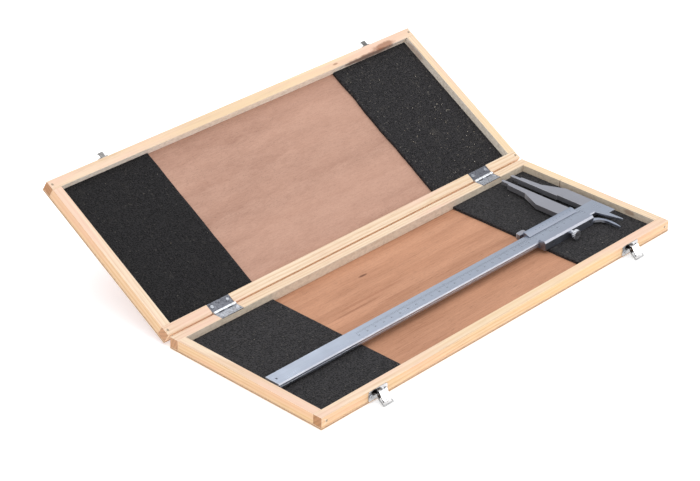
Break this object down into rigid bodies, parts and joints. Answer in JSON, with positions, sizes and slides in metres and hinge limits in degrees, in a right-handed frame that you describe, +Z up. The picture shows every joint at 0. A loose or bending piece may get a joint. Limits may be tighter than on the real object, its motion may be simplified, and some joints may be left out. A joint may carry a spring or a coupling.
{
  "type": "cased vernier caliper",
  "caption": "Long-jaw vernier caliper with nib tips, lying on foam pads in a shallow wooden case with a hinged lid and toggle latches.",
  "frame": {"origin": "middle of the tray's flat underside", "axes": "+X along the case towards the fixed jaw, +Y from the latches to the hinges, +Z up"},
  "size_m": [0.453, 0.3366, 0.1008],
  "materials": {
    "pine": "planed, unvarnished",
    "plywood": "raw veneer",
    "foam": "open foam",
    "nail_steel": "dull",
    "zinc_plate": "zinc plated",
    "zinc_bright": "bright zinc",
    "screw_steel": "bright",
    "nickel": "bright nickel plate",
    "satin_chrome": "satin chrome",
    "vernier_steel": "satin chrome",
    "gib_steel": "ground",
    "bright_chrome": "polished"
  },
  "bodies": {
    "tray": {"tray_front_rail": "pine", "tray_back_rail": "pine", "tray_left_rail": "pine", "tray_right_rail": "pine", "tray_panel": "plywood", "tray_left_pad": "foam", "tray_right_pad": "foam", "tray_corner_nails": "nail_steel", "tray_panel_nails": "nail_steel", "left_hinge_tray_leaf": "zinc_plate", "right_hinge_tray_leaf": "zinc_plate", "left_hinge_pin": "zinc_bright", "right_hinge_pin": "zinc_bright", "tray_hinge_screws": "screw_steel", "left_latch_plate": "nickel", "right_latch_plate": "nickel", "left_latch_pin": "nickel", "right_latch_pin": "nickel", "latch_screws": "screw_steel"},
    "lid": {"lid_front_rail": "pine", "lid_back_rail": "pine", "lid_left_rail": "pine", "lid_right_rail": "pine", "lid_panel": "plywood", "lid_left_pad": "foam", "lid_right_pad": "foam", "lid_corner_nails": "nail_steel", "lid_rim_nails": "nail_steel", "lid_panel_nails": "nail_steel", "left_hinge_lid_leaf": "zinc_plate", "right_hinge_lid_leaf": "zinc_plate", "lid_hinge_screws": "screw_steel", "left_keeper": "nickel", "right_keeper": "nickel", "keeper_screws": "screw_steel"},
    "left_lever": {"left_latch_lever": "nickel"},
    "right_lever": {"right_latch_lever": "nickel"},
    "left_bail": {"left_latch_bail": "nickel"},
    "right_bail": {"right_latch_bail": "nickel"},
    "caliper": {"caliper_beam": "satin_chrome", "beam_end_stop": "gib_steel"},
    "slider": {"slider_frame": "satin_chrome", "vernier_plate": "vernier_steel", "gib_strip": "gib_steel", "gib_screws": "gib_steel"},
    "clamp": {"clamp_screw": "bright_chrome"}
  },
  "joints": [
    {"name": "lid_hinge", "type": "hinge", "parent": "tray", "child": "lid", "pos_m": [0, 0.0859, 0.011], "axis": [-1, 0, 0], "range_deg": [-149.25, 12.5]},
    {"name": "left_lever_turn", "type": "hinge", "parent": "tray", "child": "left_lever", "pos_m": [-0.1625, -0.0894, 0.008], "axis": [-1, 0, 0], "range_deg": [-35, 65]},
    {"name": "right_lever_turn", "type": "hinge", "parent": "tray", "child": "right_lever", "pos_m": [0.168, -0.0894, 0.008], "axis": [-1, 0, 0], "range_deg": [-35, 65]},
    {"name": "left_bail_swing", "type": "hinge", "parent": "left_lever", "child": "left_bail", "pos_m": [-0.1625, -0.09063, 0.00537], "axis": [1, 0, 0], "range_deg": [-161.17, 0]},
    {"name": "right_bail_swing", "type": "hinge", "parent": "right_lever", "child": "right_bail", "pos_m": [0.168, -0.09063, 0.00537], "axis": [1, 0, 0], "range_deg": [-161.17, 0]},
    {"name": "caliper_lift", "type": "slide", "parent": "tray", "child": "caliper", "axis": [0, 0, 1], "range_m": [0, 0.06]},
    {"name": "jaw_slide", "type": "slide", "parent": "caliper", "child": "slider", "axis": [-1, 0, 0], "range_m": [-0.01035, 0.2896]},
    {"name": "clamp_turn", "type": "hinge", "parent": "slider", "child": "clamp", "pos_m": [0.1478, -0.043, 0.00985], "axis": [0, 1, 0], "range_deg": [-360, 90]}
  ]
}
